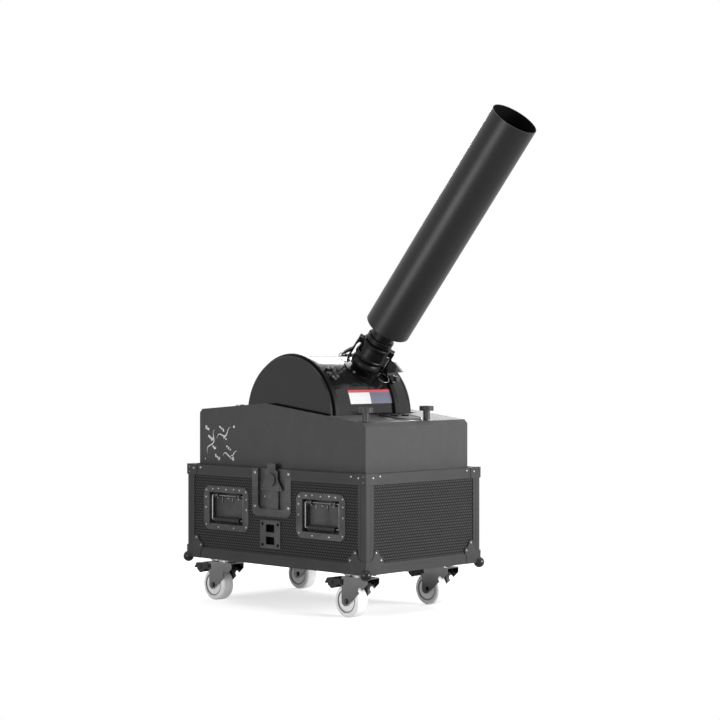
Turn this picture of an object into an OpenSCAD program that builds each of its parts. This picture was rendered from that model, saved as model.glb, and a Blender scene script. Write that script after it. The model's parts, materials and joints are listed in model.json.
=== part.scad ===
// Confetti blower in a wheeled road case: a tilting fan drum with a barrel on a cam-lever coupler.

/* [Case] */
// Length of the case over its edge rails
case_l = 800; // [780:1:860]
// Width of the case over its edge rails
case_w = 520; // [510:1:580]
// Height of the case from its underside to its rim
case_h = 300; // [290:1:340]
// Thickness of the case boards
board_t = 9; // [7:0.5:10]
// Width of the legs of the edge rails
rail_leg = 33; // [28:1:38]
// Sheet thickness of the edge rails
rail_t = 2; // [1.5:0.1:2.5]
// Width of the lip that the rim rails lay over the boards
rim_lip = 15; // [12:1:18]
// Radius of the steel balls on the bottom corners
ball_r = 17; // [14:0.5:18]

/* [Casters] */
// Radius of the wheels
wheel_r = 50; // [44:1:54]
// Width of the wheels
wheel_w = 46; // [38:1:48]
// Height from the floor to the underside of the case
caster_h = 134; // [128:1:150]
// Distance from the kingpin to the axle
trail = 38; // [30:1:42]
// Radius of the axle bolts
axle_r = 6; // [4:0.5:7]
// Radius of the kingpins
kingpin_r = 7; // [5:0.5:9]

/* [Handles] */
// Width of the flange of a handle dish
dish_l = 210; // [200:1:220]
// Height of the flange of a handle dish
dish_h = 140; // [134:1:146]
// Width of the opening of a handle dish
dish_open_l = 158; // [152:1:164]
// Height of the opening of a handle dish
dish_open_h = 100; // [96:1:106]
// Depth of a handle dish
dish_deep = 24; // [22:0.5:25]
// Distance between the middles of the two dishes
dish_pitch = 425; // [410:1:440]
// Height of the middle of the dishes above the underside of the case
dish_z = 165; // [155:1:175]
// Radius of the bail's rod
bail_r = 3.5; // [3:0.1:4]
// Radius of the rubber grip
grip_r = 8.5; // [7:0.1:9]

/* [Latch] */
// Width of the latch dish
latch_l = 174; // [164:1:184]
// Height of the latch dish below the rim
latch_h = 148; // [140:1:156]
// Depth of the latch dish
latch_deep = 11; // [10:0.5:12]
// Stroke of the hook
hook_stroke = 8; // [6:0.5:10]
// Radius of the turning disc
wing_r = 20; // [18:0.5:22]

/* [Power inlet] */
// Width of the socket plate
socket_l = 91; // [86:1:98]
// Height of the socket plate
socket_h = 87; // [84:1:94]
// Width of a socket window
window_l = 38; // [34:1:42]
// Height of a socket window
window_h = 24.5; // [22:0.5:28]

/* [Hood] */
// Distance from the case's outer faces to the hood's walls
hood_inset = 28; // [27:0.5:34]
// Sheet thickness of the hood
hood_t = 2; // [1.5:0.1:2.5]
// Height of the ridge above the rim of the case
ridge_up = 202; // [196:1:210]
// Height of the left eave above the rim
left_eave_up = 179; // [172:1:186]
// Height of the right eave above the rim
right_eave_up = 150.5; // [145:0.5:156]
// Distance of the ridge left of the case's middle
ridge_left = 64; // [50:1:80]
// Width of the bevel along the eaves
bevel = 12; // [9:0.5:15]

/* [Drum] */
// Outer radius of the drum
drum_r = 186; // [182:0.5:188]
// Sheet thickness of the drum
drum_t = 2.5; // [2:0.1:3]
// Distance from the hood's right end to the drum's axis
drum_to_end = 358; // [352:1:364]
// Height of the drum's axis above the rim
drum_up = 163; // [160:0.5:167]
// Room between the hood's front face and the drum's front end
front_room = 25; // [23:0.5:29]
// Room between the hood's back face and the drum's back end
back_room = 74; // [68:0.5:82]
// Height of the clamp bands above the drum's skin
band_up = 9; // [7:0.5:10]
// Radius of the stub axles
stub_r = 15; // [12:0.5:18]

/* [Coupler and barrel] */
// Elevation of the barrel at rest
elevation = 50; // [45:0.5:55]
// Distance from the drum's skin to the foot of the barrel
barrel_up = 175; // [166:1:189]
// Length of the barrel
barrel_l = 787; // [700:1:860]
// Outer radius of the barrel
barrel_r = 73; // [68:0.5:78]
// Wall of the barrel
barrel_t = 2; // [1.5:0.1:3]
// Outer radius of the neck below the barrel
neck_r = 38.5; // [36:0.5:40]
// Radius of the air way through the coupler
air_r = 33; // [28:0.5:34]
// Distance from the drum's skin to the pivots of the cam levers
cam_up = 98; // [94:0.5:102]
// Distance from the barrel's axis to the pivots of the cam levers
cam_out = 53; // [52:0.2:55]
// Radius of the pivot pins of the cam levers
cam_pin_r = 3; // [2.4:0.1:3.4]
// Radius of a pull ring, to the middle of its wire
ring_r = 19; // [18:0.5:23]

/* [Roof] */
// Room round the filler's flange on the right slope
filler_edge = 4; // [3:0.5:8]
// Radius of the heads of the hand screws
knob_r = 22; // [18:0.5:24]

/* [Hidden] */
$fn = 64;

fit_gap = 0.05;      // radial clearance of a shaft in its bore
seat_gap = 0.3;      // clearance of a piece that moves past its seat
skin = 1.5;          // sheet of dishes, plates and braces
half_l = case_l / 2;
half_w = case_w / 2;
rim_z = caster_h + case_h;
face_y = -half_w;                 // plane of the case's front face
board_y = half_w - rail_t;        // outer face of the boards, from the middle
floor_z = caster_h + rail_t + board_t;
hood_x = half_l - hood_inset;
hood_y = half_w - hood_inset;
left_x = -hood_x;
drum_x = hood_x - drum_to_end;
drum_front = hood_y - front_room;
drum_back = hood_y - back_room;
band_r = drum_r + band_up;
barrel_from = drum_r + barrel_up;
cam_from = drum_r + cam_up;
ridge_x = -ridge_left;
ridge_z = rim_z + ridge_up;
left_z = rim_z + left_eave_up;
right_z = rim_z + right_eave_up;
roof_slope = atan((ridge_z - right_z) / (hood_x - bevel - ridge_x));
drum_z = rim_z + drum_up;
band_gap = 3;                     // room between the bands and the roof's opening
slot_half = band_r + band_gap;
slot_back = 14;                   // room behind the drum's back end
barrel_to = barrel_from + barrel_l;
ball_in = 2;                      // how far the balls' middles sit inside the faces
mouth_x = drum_x + barrel_to * cos(elevation) + barrel_r * sin(elevation);
low_x = -half_l + ball_in - ball_r;
shift_x = -(mouth_x + low_x) / 2;

function roof_at(x) = ridge_z - (x - ridge_x) * tan(roof_slope);
function polar(r, a) = [r * cos(a), r * sin(a)];

// The case is centred on X and Y here; the whole object is then centred on its outer box.
module placed() translate([shift_x, 0, 0]) children();
module mirrored(axis) {
    children();
    mirror(axis) children();
}
module on_front(x, z) translate([x, face_y, z]) rotate([90, 0, 0]) children();
module case_block(grow = 0) {
    translate([-half_l - grow, -half_w - grow, caster_h - grow])
        cube([case_l + 2 * grow, case_w + 2 * grow, case_h + 2 * grow]);
}
module rounded_rect(l, h, r) {
    square([l - 2 * r, h], center = true);
    square([l, h - 2 * r], center = true);
    for (x = [-1, 1], y = [-1, 1]) translate([x * (l / 2 - r), y * (h / 2 - r)]) circle(r);
}

// Case boards
latch_x = -6;
socket_x = -11;
dish_mid = -3;
socket_z = caster_h + 96;
module base_board() {
    color("dimgray") translate([-half_l + rail_t, -board_y, caster_h + rail_t])
        cube([case_l - 2 * rail_t, 2 * board_y, board_t]);
}
module long_board() {
    translate([-half_l + rail_t, -board_y, floor_z])
        cube([case_l - 2 * rail_t, board_t, rim_z - rail_t - floor_z]);
}
module front_board() {
    color([0.13, 0.13, 0.14]) difference() {
        long_board();
        for (s = [-1, 1]) on_front(dish_mid + s * dish_pitch / 2, caster_h + dish_z)
            cube([dish_open_l + 2 * skin + 1, dish_open_h + 2 * skin + 1, 60], center = true);
        translate([latch_x - latch_l / 2 + 10, face_y - 1, rim_z - latch_h + 10])
            cube([latch_l - 20, 60, latch_h]);
        for (s = [-1, 1]) on_front(socket_x, socket_z + s * window_pitch / 2)
            cube([window_l + 2 * skin, window_h + 2 * skin, 60], center = true);
    }
}
module back_board() {
    color([0.13, 0.13, 0.14]) mirror([0, 1, 0]) long_board();
}
module end_boards() {
    color([0.13, 0.13, 0.14]) mirrored([1, 0, 0])
        translate([half_l - rail_t - board_t, -board_y + board_t, floor_z])
            cube([board_t, 2 * (board_y - board_t), rim_z - rail_t - floor_z]);
}

// Edge rails, mitred at the corners, with a shallow line along each leg
mitre_gap = 0.3;
line_deep = 0.5;
module long_wedge(h) {
    g = mitre_gap / 2;
    linear_extrude(h, center = true)
        polygon([[-half_l + g, -half_w], [half_l - g, -half_w], [half_l - half_w, -g], [half_w - half_l, -g]]);
}
module end_wedge(h) {
    g = mitre_gap / 2;
    linear_extrude(h, center = true)
        polygon([[half_l, -half_w + g], [half_l, half_w - g], [half_l - half_w + g, 0]]);
}
module frame_ring(z, h, wide) {
    translate([0, 0, z]) difference() {
        translate([-half_l, -half_w, 0]) cube([case_l, case_w, h]);
        translate([-half_l + wide, -half_w + wide, -1]) cube([case_l - 2 * wide, case_w - 2 * wide, h + 2]);
    }
}
module rail_ring(bottom, flat_leg) {
    leg_z = bottom ? caster_h : rim_z - rail_leg;
    flat_z = bottom ? caster_h : rim_z - rail_t;
    line_z = bottom ? caster_h + rail_leg * 0.62 : rim_z - rail_leg * 0.62;
    difference() {
        union() {
            frame_ring(leg_z, rail_leg, rail_t);
            frame_ring(flat_z, rail_t, flat_leg);
        }
        difference() {
            translate([-half_l - 1, -half_w - 1, line_z]) cube([case_l + 2, case_w + 2, 1.2]);
            translate([-half_l + line_deep, -half_w + line_deep, line_z - 1])
                cube([case_l - 2 * line_deep, case_w - 2 * line_deep, 4]);
        }
    }
}
module mitred_rails(bottom, flat_leg) {
    mirrored([0, 1, 0]) intersection() {
        rail_ring(bottom, flat_leg);
        long_wedge(4 * rim_z);
    }
    mirrored([1, 0, 0]) intersection() {
        rail_ring(bottom, flat_leg);
        end_wedge(4 * rim_z);
    }
}
module bottom_rails() {
    color([0.2, 0.2, 0.21]) difference() {
        mitred_rails(true, rail_leg);
        corner_reliefs(caster_h);
    }
}
module rim_rails() {
    color([0.2, 0.2, 0.21]) difference() {
        mitred_rails(false, rim_lip);
        translate([latch_x - latch_l / 2, face_y - 1, rim_z - latch_h]) cube([latch_l, rim_lip + 2, latch_h + 1]);
    }
}
module corner_reliefs(z) {
    for (x = [-1, 1], y = [-1, 1]) translate([x * half_l, y * half_w, z])
        cube([2 * rail_t + 2, 2 * rail_t + 2, 2 * rail_t + 2], center = true);
}
post_round = 4;
module corner_posts() {
    color([0.2, 0.2, 0.21]) mirrored([1, 0, 0]) mirrored([0, 1, 0])
        translate([-half_l, -half_w, caster_h + rail_leg + mitre_gap])
            linear_extrude(case_h - 2 * (rail_leg + mitre_gap)) difference() {
                union() {
                    translate([post_round, 0]) square([rail_leg - post_round, rail_leg]);
                    translate([0, post_round]) square([rail_leg, rail_leg - post_round]);
                    translate([post_round, post_round]) circle(post_round);
                }
                translate([rail_t, rail_t]) square(rail_leg);
                translate([rail_leg * 0.62, -1]) square([1.2, 1 + line_deep]);
                translate([-1, rail_leg * 0.62]) square([1 + line_deep, 1.2]);
            }
}

// Steel braces over the rim's corners
brace_l = 45;
brace_h = 32;
module corner_braces() {
    color([0.2, 0.2, 0.21]) mirrored([1, 0, 0]) mirrored([0, 1, 0]) difference() {
        translate([-half_l - skin, -half_w - skin, rim_z - brace_h])
            cube([brace_l + skin, brace_l + skin, brace_h + skin]);
        case_block();
        translate([-half_l + rim_lip, -half_w + rim_lip, rim_z - 1]) cube([brace_l, brace_l, 10]);
    }
}

// Ball corners: a ball round each bottom corner on three lobed plates
lobe_a = [44, 65];
lobe_b = [65, 42];
lobe_r = 10;
module lobed_plate() {
    difference() {
        union() {
            polygon([[-skin, 0], [62, 0], [lobe_b[0] + 8, lobe_b[1] - 6], [lobe_a[0] + 4, lobe_a[1] + 8],
                [lobe_a[0] - 8, lobe_a[1] + 4], [0, 40], [-skin, 40]]);
            translate(lobe_a) circle(lobe_r);
            translate(lobe_b) circle(lobe_r);
        }
        translate([8, 66]) circle(27);
        translate([85, 14]) circle(22);
        for (p = [lobe_a, lobe_b]) translate(p) circle(rivet_r * 0.6);
    }
}
module ball_corner() {
    difference() {
        union() {
            translate([-half_l + ball_in, -half_w + ball_in, caster_h + ball_in / 2]) sphere(ball_r);
            translate([-half_l, -half_w, caster_h]) rotate([90, 0, 0]) linear_extrude(skin) lobed_plate();
            translate([-half_l, -half_w, caster_h]) rotate([90, 0, 90]) mirror([0, 0, 1])
                linear_extrude(skin) lobed_plate();
        }
        case_block();
    }
}
module ball_corners() {
    color([0.3, 0.3, 0.31]) mirrored([1, 0, 0]) mirrored([0, 1, 0]) ball_corner();
}

// Rivets and small screws, one group
rivet_r = 3.4;
rivet_up = 1.3;
module rivet(r = rivet_r, up = rivet_up) {
    rotate_extrude() polygon(concat([[0, 0]], [for (i = [0 : 4]) [r * cos(i * 22.5), up * sin(i * 22.5)]]));
}
module front_rivet(x, z, out = 0, r = rivet_r) translate([0, -out, 0]) on_front(x, z) rivet(r);
module dish_rivets(x) {
    z = caster_h + dish_z;
    up = dish_h / 2 - 9;
    side = dish_l / 2 - 10;
    for (s = [-1, 1]) {
        for (p = [[93, up - 5], [63, up - 1], [36, up + 1], [36, -up]]) front_rivet(x + s * p[0], z + p[1], 0);
        front_rivet(x + s * side, z + 33);
        front_rivet(x + s * side, z);
        front_rivet(x + s * (side - 2), z - 55);
    }
    front_rivet(x, z + up - 1);
}
big_rivet_r = 5;
module fasteners() {
    color("silver") {
        for (s = [-1, 1]) dish_rivets(dish_mid + s * dish_pitch / 2);
        for (s = [-1, 1]) {
            front_rivet(latch_x + s * (latch_l / 2 - 12), rim_z - 14, 0, big_rivet_r);
            front_rivet(latch_x + s * (latch_l / 2 - 12), rim_z - latch_h + 29, 0, big_rivet_r);
        }
        mirrored([1, 0, 0]) mirrored([0, 1, 0]) {
            for (p = [lobe_a, lobe_b]) front_rivet(-half_l + p[0], caster_h + p[1], skin);
            for (p = [lobe_a, lobe_b]) translate([-half_l - skin, -half_w + p[0], caster_h + p[1]])
                rotate([0, -90, 0]) rivet();
            front_rivet(-half_l + 30, rim_z - 12, skin);
            front_rivet(-half_l + 10, rim_z - 8, skin, 2.2);
            front_rivet(-half_l + 10, rim_z - 24, skin, 2.2);
            translate([-half_l - skin, -half_w + 30, rim_z - 12]) rotate([0, -90, 0]) rivet();
            translate([-half_l, -half_w + 62, rim_z - 9]) rotate([0, -90, 0]) rivet();
            front_rivet(-half_l + 62, rim_z - 9);
        }
        on_left_slope(left_x + 31, -83) cylinder(r = 15, h = 9);
        on_left_slope(left_x + 72, -60) cylinder(r = 4, h = 10);
    }
}
left_slope = atan((ridge_z - left_z) / (ridge_x - left_x - bevel));
module on_left_slope(x, y)
    translate([x, y, ridge_z - (ridge_x - x) * tan(left_slope)]) rotate([0, -left_slope, 0]) children();

// Casters
mount_t = 3;          // thickness of a caster's top plate
race_h = 7;           // height of the swivel race under the plate
race_r = 26;
fork_t = 3;
fork_top = caster_h - mount_t - race_h - seat_gap;
fork_half = wheel_w / 2 + 1.5;
fork_back = 52;       // reach of the fork's crown from the kingpin
CASTERS = [[-half_l + 140, -half_w + 43], [half_l - 63, -half_w + 43], [-half_l + 133, half_w - 92],
    [half_l - 85, half_w - 92]];
module caster_mounts() {
    color([0.7, 0.71, 0.73]) for (p = CASTERS) translate([p[0], p[1], 0]) difference() {
        union() {
            translate([-40, -34, caster_h - mount_t]) cube([80, 68, mount_t]);
            translate([0, 0, caster_h - mount_t - race_h]) cylinder(r = race_r, h = race_h + 1);
            // packing between the plate and the board, behind the edge rail
            if (p[1] > 0) translate([-40, -34, caster_h - 1]) cube([80, 68, rail_t + 1]);
        }
        translate([0, 0, caster_h - 60]) cylinder(r = kingpin_r + fit_gap, h = 100);
        for (x = [-1, 1], y = [-1, 1]) translate([x * 32, y * 27, caster_h - 20]) cylinder(r = 4.2, h = 40);
    }
}
module fork_leg_outline() {
    up = fork_top - wheel_r;
    difference() {
        union() {
            circle(15);
            polygon([[-15, 0], [-15, up], [trail + fork_back, up], [trail + fork_back, up - 18], [11, -10]]);
            translate([brake_pin[0], brake_pin[1] - 8]) square([20, 16]);
            translate(brake_pin) circle(8);
        }
        translate([trail + 22, up - 38]) circle(9);
        translate(brake_pin) circle(brake_pin_r + fit_gap);
    }
}
module fork(i) {
    color([0.75, 0.76, 0.78]) translate([CASTERS[i][0], CASTERS[i][1], 0]) {
        translate([-trail, 0, wheel_r]) difference() {
            union() {
                for (s = [-1, 1]) translate([0, s * (fork_half + fork_t / 2) + fork_t / 2, 0])
                    rotate([90, 0, 0]) linear_extrude(fork_t) fork_leg_outline();
                translate([-15, -fork_half - 1, fork_top - wheel_r - fork_t])
                    cube([trail + fork_back + 15, 2 * fork_half + 2, fork_t]);
            }
            rotate([90, 0, 0]) cylinder(r = axle_r, h = 200, center = true);
        }
        translate([0, 0, fork_top - fork_t]) cylinder(r = kingpin_r, h = race_h + mount_t + fork_t - 1);
        translate([0, 0, fork_top - fork_t - 5]) cylinder(r = 12, h = 5);
        translate([-trail, 0, wheel_r]) rotate([90, 0, 0]) {
            cylinder(r = axle_r, h = 2 * (fork_half + fork_t) + 1, center = true);
            for (s = [-1, 1]) translate([0, 0, s * (fork_half + fork_t + 3)]) {
                cylinder(r = 9, h = 6, center = true, $fn = 6);
                translate([0, 0, s * 3]) cylinder(r = 4.5, h = 3, center = true);
            }
        }
    }
}
module wheel(i) {
    h = wheel_w / 2;
    rr = 9;
    color("whitesmoke") translate([CASTERS[i][0] - trail, CASTERS[i][1], wheel_r]) rotate([90, 0, 0])
        rotate_extrude($fn = 96) difference() {
            polygon(concat([[axle_r + fit_gap, -h - 1], [14, -h - 1], [14, -h + 2], [32, -h + 2], [32, -h + 4],
                [36, -h + 4], [36, -h]],
                [for (a = [-90 : 15 : 0]) [wheel_r - rr + rr * cos(a), -h + rr + rr * sin(a)]],
                [for (a = [0 : 15 : 90]) [wheel_r - rr + rr * cos(a), h - rr + rr * sin(a)]],
                [[36, h], [36, h - 4], [32, h - 4], [32, h - 2], [14, h - 2], [14, h + 1], [axle_r + fit_gap, h + 1]]));
        }
}
brake_pin = [-21, 57];       // brake pivot, from the axle
brake_pin_r = 4;
brake_top = 115.5;           // highest point of the pedal, below the corner balls
module brake(i) {
    out = fork_half + fork_t + seat_gap;
    top = brake_top - wheel_r;
    color([0.1, 0.1, 0.1]) translate([CASTERS[i][0] - trail, CASTERS[i][1], wheel_r]) {
        rotate([90, 0, 0]) {
            for (s = [-1, 1]) translate([0, 0, s * (out + 1.25)]) linear_extrude(2.5, center = true)
                polygon([[-10, 48], [-10, top], [-74, top], [-70, 44], [-56, 34], [-46, 36], [-34, 47]]);
            translate(brake_pin) cylinder(r = brake_pin_r, h = 2 * out + 5, center = true);
            for (s = [-1, 1], p = [brake_pin, [-55, 53]]) translate([p[0], p[1], s * (out + 3.5)])
                cylinder(r = 6.5, h = 2, center = true);
            // brake shoe over the tread
            linear_extrude(2 * out, center = true) polygon([[-58, 36], [-50, 36], [-46, 42], [-54, 46]]);
            // foot plate
            linear_extrude(2 * out + 5, center = true)
                polygon([[-52, top], [-74, top], [-84, 50], [-80, 48], [-70, top - 4], [-52, top - 4]]);
        }
    }
}

// Handles: a dish, a rod bail on a hinge pin, a rubber grip and two torsion springs
bail_half = 72.5;
bail_y = face_y + bail_r + 5.5;
pivot_up = dish_open_h / 2 - 10;
grip_down = dish_open_h / 2 - 12.5;
grip_half = 57;
module dish(s) {
    color([0.22, 0.22, 0.23]) on_front(dish_mid + s * dish_pitch / 2, caster_h + dish_z) {
        difference() {
            union() {
                translate([0, 0, -rail_t]) linear_extrude(rail_t) rounded_rect(dish_l, dish_h, 26);
                translate([0, 0, -dish_deep / 2 - skin / 2])
                    cube([dish_open_l + 2 * skin, dish_open_h + 2 * skin, dish_deep + skin], center = true);
            }
            translate([0, 0, 50 - dish_deep]) cube([dish_open_l, dish_open_h, 100], center = true);
        }
        // ears that carry the hinge pin
        for (x = [-1, 1], e = [20, 36]) translate([x * (dish_open_l / 2 - e), pivot_up, 0]) difference() {
            translate([-1.5, -7, -dish_deep]) cube([3, 14, dish_deep - 2]);
            translate([0, 0, -bail_depth]) rotate([0, 90, 0])
                cylinder(r = bail_r + fit_gap, h = 20, center = true);
        }
        // a rib across the back of the dish
        translate([-dish_open_l / 2 + 20, -4, -dish_deep]) cube([dish_open_l - 40, 1.5, 0.8]);
    }
}
bail_depth = bail_r + 5.5;
module bail(s) {
    color("silver") on_front(dish_mid + s * dish_pitch / 2, caster_h + dish_z) translate([0, 0, -bail_depth]) {
        for (x = [-1, 1]) {
            translate([x * bail_half, -grip_down, 0]) rotate([-90, 0, 0])
                cylinder(r = bail_r, h = pivot_up + grip_down);
            for (y = [-grip_down, pivot_up]) translate([x * bail_half, y, 0]) sphere(bail_r);
        }
        translate([0, pivot_up, 0]) rotate([0, 90, 0]) cylinder(r = bail_r, h = 2 * bail_half, center = true);
        translate([0, -grip_down, 0]) rotate([0, 90, 0]) cylinder(r = bail_r, h = 2 * bail_half, center = true);
    }
}
module grip(s) {
    ribs = 16;
    pitch = 2 * grip_half / ribs;
    color([0.12, 0.12, 0.12]) on_front(dish_mid + s * dish_pitch / 2, caster_h + dish_z)
        translate([0, -grip_down, -bail_depth]) rotate([0, 90, 0]) rotate_extrude() difference() {
            translate([bail_r, -grip_half]) square([grip_r - bail_r, 2 * grip_half]);
            for (i = [1 : ribs - 1]) translate([grip_r, -grip_half + i * pitch]) circle(0.9, $fn = 16);
        }
}
// Torsion springs: one coil round the pin beside each pair of ears
spring_turns = 4;
spring_wire = 1;
spring_gap = 0.6;      // air between the turns
spring_rings = 8;      // rings in a turn
spring_sides = 6;
function coil_point(k) = [
    (k / spring_rings) * (2 * spring_wire + spring_gap),
    (bail_r + spring_wire + 0.5) * cos(k * 360 / spring_rings),
    (bail_r + spring_wire + 0.5) * sin(k * 360 / spring_rings)];
function ring_point(k, j) = let (c = coil_point(k), a = k * 360 / spring_rings, b = j * 360 / spring_sides,
    out = spring_wire * cos(b), along = spring_wire * sin(b))
    [c[0] + along, c[1] + out * cos(a), c[2] + out * sin(a)];
coil_steps = spring_turns * spring_rings;
coil_l = spring_turns * (2 * spring_wire + spring_gap);
module coil() {
    last = coil_steps * spring_sides;
    polyhedron(
        [for (k = [0 : coil_steps], j = [0 : spring_sides - 1]) ring_point(k, j)],
        concat(
            [for (k = [0 : coil_steps - 1], j = [0 : spring_sides - 1]) let (n = (j + 1) % spring_sides)
                [k * spring_sides + j, k * spring_sides + n, (k + 1) * spring_sides + n]],
            [for (k = [0 : coil_steps - 1], j = [0 : spring_sides - 1]) let (n = (j + 1) % spring_sides)
                [k * spring_sides + j, (k + 1) * spring_sides + n, (k + 1) * spring_sides + j]],
            [for (j = [1 : spring_sides - 2]) [0, j + 1, j]],
            [for (j = [1 : spring_sides - 2]) [last, last + j, last + j + 1]]));
}
echo(least_gap_between_turns = coil_l / spring_turns - 2 * spring_wire);
module handle_springs() {
    color("gray") for (s = [-1, 1], x = [-1, 1])
        on_front(dish_mid + s * dish_pitch / 2 + x * (dish_open_l / 2 - 28), caster_h + dish_z)
            translate([-coil_l / 2, pivot_up, -bail_depth]) coil();
}

// Latch: a dish open at the rim, a fixed strap, a sliding hook plate and a turning wing
latch_y = face_y + latch_deep;        // front of the recess's back wall
wing_up = 33;                         // wing's axis below the rim
strap_l = 55;
strap_top = rim_z - 68;
strap_bottom = rim_z - latch_h + 23;
border = 26;
module latch_dish() {
    color([0.24, 0.24, 0.25]) difference() {
        union() {
            translate([latch_x, face_y + rail_t, rim_z - latch_h / 2]) rotate([90, 0, 0])
                linear_extrude(rail_t) intersection() {
                    translate([0, 30]) rounded_rect(latch_l, latch_h + 60, 22);
                    square([latch_l, latch_h], center = true);
                }
            translate([latch_x - latch_l / 2 + 11, face_y, rim_z - latch_h + 11])
                cube([latch_l - 22, latch_deep + skin, latch_h - 11]);
            translate([latch_x - strap_l / 2, latch_y - 7.5, strap_bottom])
                cube([strap_l, 8, strap_top - strap_bottom]);
        }
        difference() {
            translate([latch_x, latch_y, 0]) rotate([90, 0, 0]) linear_extrude(latch_deep + 1)
                translate([0, rim_z - latch_h / 2 + 53]) rounded_rect(latch_l - 2 * border, latch_h + 60, 14);
            translate([latch_x - strap_l / 2, latch_y - 7.5, strap_bottom])
                cube([strap_l, 20, strap_top - strap_bottom]);
        }
        on_front(latch_x, rim_z - wing_up) cylinder(r = wing_post_r + fit_gap, h = 60, center = true);
    }
}
wing_post_r = 4;
plate_back = face_y + 3;              // back of the hook plate
module hook_outline() {
    half = 28;
    wide = 47;
    polygon(concat([[-half, 60], [-half, 34], [-wide + 4, 12]],
        [for (a = [150 : 30 : 270]) [-wide + 5, 5] + polar(5, a)],
        [for (a = [270 : 30 : 390]) [wide - 5, 5] + polar(5, a)],
        [[wide - 4, 12], [half, 34], [half, 60], [19, 64], [17, 84], [-17, 84], [-19, 64]]));
}
module latch_hook() {
    low = strap_top + 0.5;
    color([0.25, 0.25, 0.26]) translate([latch_x, 0, low]) difference() {
        union() {
            translate([0, plate_back, 0]) rotate([90, 0, 0]) linear_extrude(3) hook_outline();
            translate([-17, plate_back - 1, 12]) cube([34, latch_y - plate_back + 1 - seat_gap, 48]);
            translate([-17, plate_back - 1, 78]) cube([34, 9, 6]);
        }
        // slot that rides on the wing's post
        post_z = rim_z - wing_up - low;
        for (z = [post_z, post_z + hook_stroke]) translate([0, 0, z]) rotate([90, 0, 0])
            cylinder(r = wing_post_r + 0.4, h = 900, center = true);
        translate([-wing_post_r - 0.4, face_y - 5, post_z]) cube([2 * wing_post_r + 0.8, 40, hook_stroke]);
        for (s = [-1, 1]) translate([s * 39, 0, 8]) rotate([90, 0, 0]) cylinder(r = 2.5, h = 900, center = true);
    }
}
module latch_wing() {
    color([0.27, 0.27, 0.28]) on_front(latch_x, rim_z - wing_up) {
        translate([0, 0, seat_gap]) cylinder(r = wing_r, h = 3);
        translate([0, 0, seat_gap + 2]) difference() {
            cylinder(r = wing_r, h = 3.5);
            translate([-2 * wing_r - 3, -wing_r, 1]) cube([2 * wing_r, 2 * wing_r, 10]);
            translate([-4, 0, 1]) cylinder(r = wing_r - 2, h = 10);
        }
        translate([0, 0, -latch_deep - 1]) cylinder(r = wing_post_r, h = latch_deep + 3);
    }
}

// Power inlet: a steel plate with two windows and a black socket behind each
window_pitch = 38.5;
module socket_plate() {
    color([0.3, 0.3, 0.31]) on_front(socket_x, socket_z) translate([0, 0, -rail_t]) difference() {
        linear_extrude(rail_t + 0.5) rounded_rect(socket_l, socket_h, 7);
        for (s = [-1, 1]) translate([0, s * window_pitch / 2, 0])
            cube([window_l, window_h, 20], center = true);
    }
}
module power_sockets() {
    color([0.05, 0.05, 0.05]) on_front(socket_x, socket_z) {
        for (s = [-1, 1]) translate([0, s * window_pitch / 2, -rail_t]) {
            difference() {
                translate([-window_l / 2 - 1, -window_h / 2 - 1, -22]) cube([window_l + 2, window_h + 2, 22]);
                translate([-window_l / 2 + 1, -window_h / 2 + 1, -14]) cube([window_l - 2, window_h - 2, 20]);
            }
            for (x = [-9, 0, 9]) translate([x - 2, -3 - (x == 0 ? 3 : 0), -16]) cube([4, 6, 10]);
        }
        for (x = [-1, 1], y = [-1, 1]) translate([x * 34.5, y * 32.2, 0.5]) rivet(5, 1.8);
    }
}
module control_box() {
    box_l = 300;
    box_w = 220;
    box_h = 110;
    color("darkgray") translate([-box_l / 2 - 60, -box_w / 2, floor_z]) difference() {
        cube([box_l, box_w, box_h]);
        translate([hood_t, hood_t, hood_t]) cube([box_l - 2 * hood_t, box_w - 2 * hood_t, box_h - 2 * hood_t]);
    }
}

// Hood: a bent roof and end walls, a front and a back wall
function hood_outline(in) = [
    [left_x + in, floor_z], [left_x + in, left_z - bevel - in * 0.4],
    [left_x + bevel + in * 0.4, left_z - in], [ridge_x, ridge_z - in],
    [hood_x - bevel - in * 0.4, right_z - in], [hood_x - in, right_z - bevel - in * 0.4],
    [hood_x - in, floor_z]];
module hood_shell() {
    color([0.25, 0.25, 0.26]) difference() {
        translate([0, hood_y - hood_t, 0]) rotate([90, 0, 0]) linear_extrude(2 * (hood_y - hood_t)) difference() {
            polygon(hood_outline(0));
            polygon(concat([[left_x + hood_t, 0]], [for (i = [1 : 5]) hood_outline(hood_t)[i]],
                [[hood_x - hood_t, 0]]));
        }
        translate([drum_x - slot_half, -hood_y - 1, drum_z - 60])
            cube([2 * slot_half, hood_y + drum_back + slot_back + 1, 300]);
        at_filler() cylinder(r = filler_bore + 1, h = 60, center = true);
        for (y = screw_ys) translate([screw_x, y, right_z - 60]) cylinder(r = screw_r + fit_gap, h = 200);
    }
}
module hood_walls() {
    color([0.24, 0.24, 0.25]) mirrored([0, 1, 0]) translate([0, -hood_y + hood_t, 0]) rotate([90, 0, 0])
        linear_extrude(hood_t) polygon(hood_outline(0));
}
bearing_t = 19;
module tilt_bearings() {
    color("gray") mirrored([0, 1, 0]) translate([drum_x, -hood_y + hood_t, drum_z]) rotate([-90, 0, 0])
        difference() {
            union() {
                linear_extrude(8) {
                    circle(24);
                    square([84, 24], center = true);
                    for (s = [-1, 1]) translate([s * 42, 0]) circle(12);
                }
                cylinder(r = 22, h = bearing_t);
            }
            cylinder(r = stub_r + fit_gap, h = 100, center = true);
            for (s = [-1, 1]) translate([s * 42, 0, 0]) cylinder(r = 5, h = 40, center = true);
        }
}

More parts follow.
